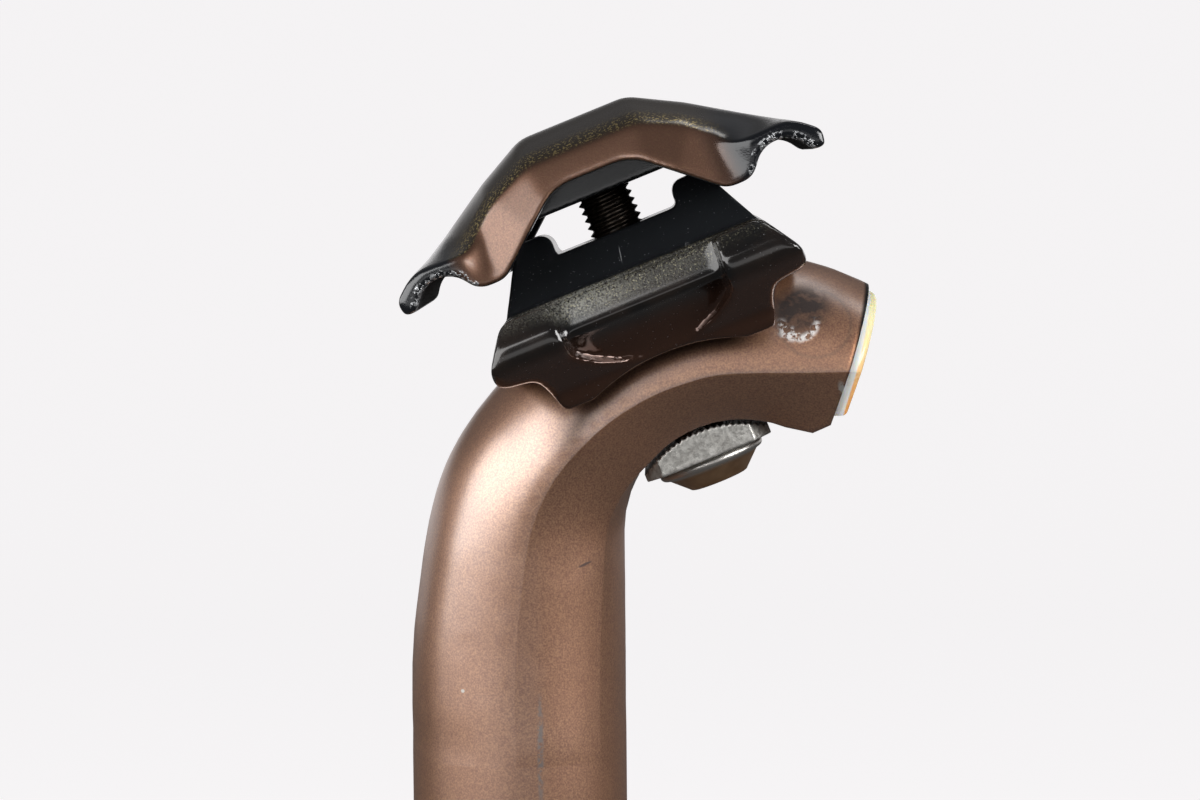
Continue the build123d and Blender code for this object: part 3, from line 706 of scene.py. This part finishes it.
# The bolt. Sizes are in mm, heights up the bolt from the bend axis.
boltLook = {
    "nose": 6.85,
    "noseRadius": 3.85,
    "noseEdge": [(-0.3, 0), (-0.08, 0.08), (0.12, 0.28)],  # out and up from the nose's corner
    "underLip": (0.35, 0.16),  # in and down from the lip's foot
    "lipHeight": 9.75,
    "lipRadius": 0.65,
    "headRadius": 6.9,
    "shankRadius": 3.45,
    "shankTop": 34.6,
    "hex": 5.0,
    "hexDepth": 3.2,
    "turns": 16,
    "pitch": 1.0,
    "rootRadius": 2.98,
    "crestRadius": 3.48,
    # one pitch of the thread: shares of the way from root to crest and of the pitch
    "flank": [(0, 0), (0, 0.1), (1, 0.44), (1, 0.55), (0, 0.89), (0, 1)],
    "tip": 50.4,
    "weld": 0.003,
    "weldTurns": 0.005,
    # painted reflection: the head's golden colour stands for the bronze post reflected in it,
    # mottled browner
    "warm": "#e2b78e",
    "stain": "#bb8f68",
    "stainGrain": (3, 0.35, 0.65, 2),
    "lip": "#d8d4ce",
    "lipFrom": (8.7, 9.3),
    "lineGrain": (0.12, 0.3, 0.7, 1),
    "rough": (0.34, 0.42),
    "lineDepth": 0.002,
    "black": "#26221e",
    "oiled": "#453c33",
    "oilGrain": (0.6, 0.35, 0.65, 2),
    "threadRough": (0.28, 0.4),
}


# Polished steel, turned: a mirror with fine lathe lines; its golden colour is a painted reflection
# of the bronze post, mottled browner by a grain
def headSteel(look):
    material, tree = newMaterial("polished_turned_steel")
    place = placeInMm(tree, clampLean)
    height = addNode(tree, "ShaderNodeSeparateXYZ", {0: place}).outputs["Z"]
    turned = addNode(tree, "ShaderNodeCombineXYZ", {2: height}).outputs[0]
    lines = grain(tree, turned, *look["lineGrain"])
    # painted reflection of the bronze post, mottled browner by a grain
    stain = grain(tree, place, *look["stainGrain"])
    color = lay(tree, hexColor(look["warm"]), look["stain"], stain)
    settings = rising(*look["lipFrom"]) | {"Value": height}
    lip = addNode(tree, "ShaderNodeMapRange", settings).outputs[0]
    color = lay(tree, color, look["lip"], lip)
    settings = {0: lines, 2: look["rough"][0], 3: look["rough"][1]}
    rough = addNode(tree, "ShaderNodeMix", settings).outputs[0]
    surface = {"Base Color": color, "Roughness": rough, "Metallic": 1.0}
    finish(tree, surface, lines, look["lineDepth"])
    return material


# Steel thread, blackened and oiled: near black with a dull glint along its crests
def threadSteel(look):
    material, tree = newMaterial("black_oxide_threaded_steel")
    oil = grain(tree, placeInMm(tree, clampLean), *look["oilGrain"])
    color = lay(tree, hexColor(look["black"]), look["oiled"], oil)
    settings = {0: oil, 2: look["threadRough"][0], 3: look["threadRough"][1]}
    rough = addNode(tree, "ShaderNodeMix", settings).outputs[0]
    finish(tree, {"Base Color": color, "Roughness": rough, "Metallic": 0.7})
    return material


# The head and the shank, turned from the nose up round the rolled lip
def turnHead(look):
    nose, noseRadius = look["nose"], look["noseRadius"]
    lipRadius, shankRadius = look["lipRadius"], look["shankRadius"]
    lipCentre = look["headRadius"] - lipRadius
    lip = []
    for turn in range(-90, 91, 15):
        out, up = lipRadius * cos(radians(turn)), lipRadius * sin(radians(turn))
        lip.append((lipCentre + out, look["lipHeight"] + up))
    inwards, down = look["underLip"]
    points = [(0, nose)] + [(noseRadius + out, nose + up) for out, up in look["noseEdge"]]
    points += [(lipCentre - inwards, lip[0][1] - down)] + lip
    points += [(shankRadius, lip[-1][1]), (shankRadius, look["shankTop"]), (0, look["shankTop"])]
    head = drawLine("clamp_bolt_turned", [(r * mm, 0, z * mm) for r, z in points])
    bpy.ops.object.mode_set(mode="EDIT")
    bpy.ops.mesh.select_all(action="SELECT")
    bpy.ops.mesh.spin(steps=72, angle=radians(360), center=(0, 0, 0), axis=(0, 0, 1))
    bpy.ops.mesh.select_all(action="SELECT")
    bpy.ops.mesh.remove_doubles(threshold=look["weld"] * mm)
    bpy.ops.mesh.normals_make_consistent(inside=False)
    bpy.ops.object.mode_set(mode="OBJECT")
    # the hexagon socket
    bpy.ops.object.select_all(action="DESELECT")
    acrossCorners = look["hex"] / cos(radians(30))
    bpy.ops.mesh.primitive_cylinder_add(vertices=6, radius=acrossCorners / 2 * mm,
                                        depth=2 * look["hexDepth"] * mm, location=(0, 0, nose * mm))
    key = bpy.context.object
    applyModifier(head, "socket", "BOOLEAN", operation="DIFFERENCE", object=key, solver="EXACT")
    bpy.data.objects.remove(key)
    return head


# The thread, one pitch turned up the shank
def turnThread(look):
    pitch, root, crest = look["pitch"], look["rootRadius"], look["crestRadius"]
    points = [((root + (crest - root) * out) * mm, 0, up * pitch * mm) for out, up in look["flank"]]
    thread = drawLine("clamp_bolt_thread", points)
    applyModifier(thread, "turn", "SCREW", angle=radians(360), screw_offset=pitch * mm, axis="Z",
                  iterations=look["turns"], steps=40, render_steps=40,
                  use_merge_vertices=True, merge_threshold=look["weldTurns"] * mm)
    onlySelect(thread)
    bpy.ops.object.mode_set(mode="EDIT")
    bpy.ops.mesh.select_all(action="SELECT")
    bpy.ops.mesh.remove_doubles(threshold=look["weld"] * mm)
    bpy.ops.mesh.select_all(action="DESELECT")
    bpy.ops.mesh.select_non_manifold()
    bpy.ops.mesh.fill_holes(sides=0)
    bpy.ops.mesh.select_all(action="SELECT")
    bpy.ops.mesh.normals_make_consistent(inside=False)
    foot = look["tip"] - (look["turns"] + 1) * pitch
    bpy.ops.transform.translate(value=(0, 0, foot * mm))
    bpy.ops.object.mode_set(mode="OBJECT")
    return thread


def makeBolt(look):
    head = turnHead(look)
    dress(head, headSteel(look))
    thread = turnThread(look)
    dress(thread, threadSteel(look))
    onlySelect(head)
    thread.select_set(True)
    bpy.ops.object.join()
    head.matrix_world = boltFrame
    onlySelect(head)
    bpy.ops.object.transform_apply(location=True, rotation=True, scale=True)
    bpy.ops.object.shade_smooth_by_angle(angle=radians(32))
    return head


washerLook = {
    "voxel": 0.13,
    "passes": 3,
    "dark": "#a3a19c",
    "bright": "#c4c2bd",
    "spangleGrain": (0.5, 0.35, 0.65, 3),
    "cloud": "#77736d",
    "cloudShare": 0.35,
    "cloudGrain": (2.5, 0.35, 0.65, 2),
    "rough": (0.34, 0.5),
    "metallic": 0.8,
    "reliefDepth": 0.015,
}


# Zinc plated steel, pressed: pale mottled grey, clouded darker
def washerZinc(look):
    material, tree = newMaterial("zinc_plated_pressed_steel")
    place = placeInMm(tree, clampLean)
    spangle = grain(tree, place, *look["spangleGrain"])
    color = lay(tree, hexColor(look["dark"]), look["bright"], spangle)
    cloud = grain(tree, place, *look["cloudGrain"])
    color = lay(tree, color, look["cloud"], cloud, look["cloudShare"])
    settings = {0: spangle, 2: look["rough"][0], 3: look["rough"][1]}
    rough = addNode(tree, "ShaderNodeMix", settings).outputs[0]
    surface = {"Base Color": color, "Roughness": rough, "Metallic": look["metallic"]}
    finish(tree, surface, spangle, look["reliefDepth"])
    return material


bolt = makeBolt(boltLook)
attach(bolt, "bolt")
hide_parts("clamp_bolt")
washer = softCopy("curved_washer", "curved_washer_pressed", washerLook)
dress(washer, washerZinc(washerLook))
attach(washer, "cradle")
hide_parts("curved_washer")
print("bolt and washer made", len(bolt.data.polygons), len(washer.data.polygons))

# Studio: a paper sweep, a dim world and four lamps, in metres
studio = {
    "sweepWidth": 7.0,
    "sweepFront": -3.0,
    "sweepBack": 2.6,
    "sweepRadius": 0.7,
    "sweepHeight": 1.3,
    "paper": "#f4f2f3",
    "matt": "#898989",
    "mattInGloss": "#1c1c1c",
    "cameraGlow": 0.96,
    "floorGlow": 0.07,
    "wallGlow": 0.95,
    "wallStart": (0.0, 0.2),  # where reflections of the paper come in and fade out
    "wallDim": (0.85, 0.4),
    "world": (0.11, 0.11, 0.115, 1),
}


# Matt paper: white to the camera, and in reflections a bright band low on the wall
def sweepPaper(look):
    material, tree = newMaterial("matt_paper_sweep")
    ray = addNode(tree, "ShaderNodeLightPath").outputs
    place = addNode(tree, "ShaderNodeTexCoord").outputs["Object"]
    up = addNode(tree, "ShaderNodeSeparateXYZ", {0: place}).outputs["Z"]
    start, dim = (addNode(tree, "ShaderNodeMapRange", rising(*look[key]) | {"Value": up}).outputs[0]
                  for key in ("wallStart", "wallDim"))
    lit = addNode(tree, "ShaderNodeMath", product | {0: start, 1: dim}).outputs[0]
    settings = {0: lit, 2: look["floorGlow"], 3: look["wallGlow"]}
    reflected = addNode(tree, "ShaderNodeMix", settings).outputs[0]
    settings = larger | {0: ray["Is Glossy Ray"], 1: ray["Is Transmission Ray"]}
    seen = addNode(tree, "ShaderNodeMath", settings).outputs[0]
    reflected = addNode(tree, "ShaderNodeMath", product | {0: reflected, 1: seen}).outputs[0]
    settings = {0: ray["Is Camera Ray"], 2: reflected, 3: look["cameraGlow"]}
    strength = addNode(tree, "ShaderNodeMix", settings).outputs[0]
    settings = {"Color": hexColor(look["paper"]), "Strength": strength}
    emission = addNode(tree, "ShaderNodeEmission", settings).outputs[0]
    matt = lay(tree, hexColor(look["matt"]), look["mattInGloss"], ray["Is Glossy Ray"])
    diffuse = addNode(tree, "ShaderNodeBsdfDiffuse", {"Color": matt}).outputs[0]
    total = addNode(tree, "ShaderNodeAddShader", {0: emission, 1: diffuse}).outputs[0]
    addNode(tree, "ShaderNodeOutputMaterial", {"Surface": total})
    return material


def makeSweep(look):
    half, back, corner = look["sweepWidth"] / 2, look["sweepBack"], look["sweepRadius"]
    line = [(look["sweepFront"], 0), (back - corner, 0)]
    line += [(back - corner + corner * sin(radians(turn)), corner - corner * cos(radians(turn)))
             for turn in range(15, 91, 15)]
    line.append((back, look["sweepHeight"]))
    sweep = drawLine("paper_sweep", [(-half, y, z) for y, z in line])
    bpy.ops.object.mode_set(mode="EDIT")
    bpy.ops.mesh.select_all(action="SELECT")
    bpy.ops.mesh.extrude_region_move(TRANSFORM_OT_translate={"value": (2 * half, 0, 0)})
    bpy.ops.mesh.select_all(action="SELECT")
    bpy.ops.mesh.normals_make_consistent(inside=False)
    bpy.ops.object.mode_set(mode="OBJECT")
    bpy.ops.object.shade_smooth()
    dress(sweep, sweepPaper(look))


makeSweep(studio)
world = bpy.data.worlds.new("studio")
bpy.context.scene.world = world
world.use_nodes = True
worldTree = world.node_tree
worldTree.nodes.clear()
cameraRay = addNode(worldTree, "ShaderNodeLightPath").outputs["Is Camera Ray"]
worldColor = lay(worldTree, studio["world"], studio["paper"], cameraRay)
background = addNode(worldTree, "ShaderNodeBackground", {"Color": worldColor}).outputs[0]
addNode(worldTree, "ShaderNodeOutputWorld", {"Surface": background})

# azimuth from behind the camera and elevation in degrees, distance, width and height in
# metres, watts
lamps = {
    "key_left": (-55, 16, 0.75, 1.25, 0.5, 7.6),
    "fill_right": (57, 21, 0.45, 0.4, 0.2, 2.6),
    "front_low": (4, -3, 1.2, 0.9, 0.2, 0.5),
    "top_back": (150, 62, 1.2, 0.5, 0.3, 1.2),
}


def softbox(name, azimuth, elevation, distance, width, height, power):
    a, e = radians(azimuth), radians(elevation)
    away = Vector((sin(a) * cos(e), -cos(a) * cos(e), sin(e)))
    bpy.ops.object.light_add(type="AREA", location=bendAxis + away * distance)
    lamp = bpy.context.object
    lamp.name = name
    lamp.data.shape = "RECTANGLE"
    lamp.data.size = width
    lamp.data.size_y = height
    lamp.data.energy = power
    lamp.rotation_euler = away.to_track_quat("Z", "Y").to_euler()


for name, setting in lamps.items():
    softbox(name, *setting)
print("studio set")

# Camera: a long lens a little above the clamp
view = {
    "lens": 105.0,
    "sensor": 36.0,
    "distance": 0.4434,
    "pitch": 3.97,
    "yaw": -1.03,
    "roll": -0.525,
    "picture": (1200, 800),
    "bendAxisAt": (740.0, 529.25),
}
focal = view["lens"] / view["sensor"] * view["picture"][0]
pitch, yaw, roll = (radians(view[key]) for key in ("pitch", "yaw", "roll"))
forward = Vector((sin(yaw) * cos(pitch), cos(yaw) * cos(pitch), -sin(pitch)))
sideways = Vector((cos(yaw), -sin(yaw), 0))
upward = sideways.cross(forward)
right = sideways * cos(roll) + upward * sin(roll)
top = upward * cos(roll) - sideways * sin(roll)
acrossView = (view["bendAxisAt"][0] - view["picture"][0] / 2) / focal * view["distance"]
upView = (view["picture"][1] / 2 - view["bendAxisAt"][1]) / focal * view["distance"]
eye = bendAxis - forward * view["distance"] - right * acrossView - top * upView
bpy.ops.object.camera_add(location=eye)
camera = bpy.context.object
camera.data.lens = view["lens"]
camera.data.sensor_width = view["sensor"]
camera.data.clip_start = 0.01
camera.data.clip_end = 20
camera.rotation_euler = Matrix((right, top, -forward)).transposed().to_euler()
bpy.context.scene.camera = camera
bpy.context.scene.view_settings.view_transform = "Standard"
print("camera placed")
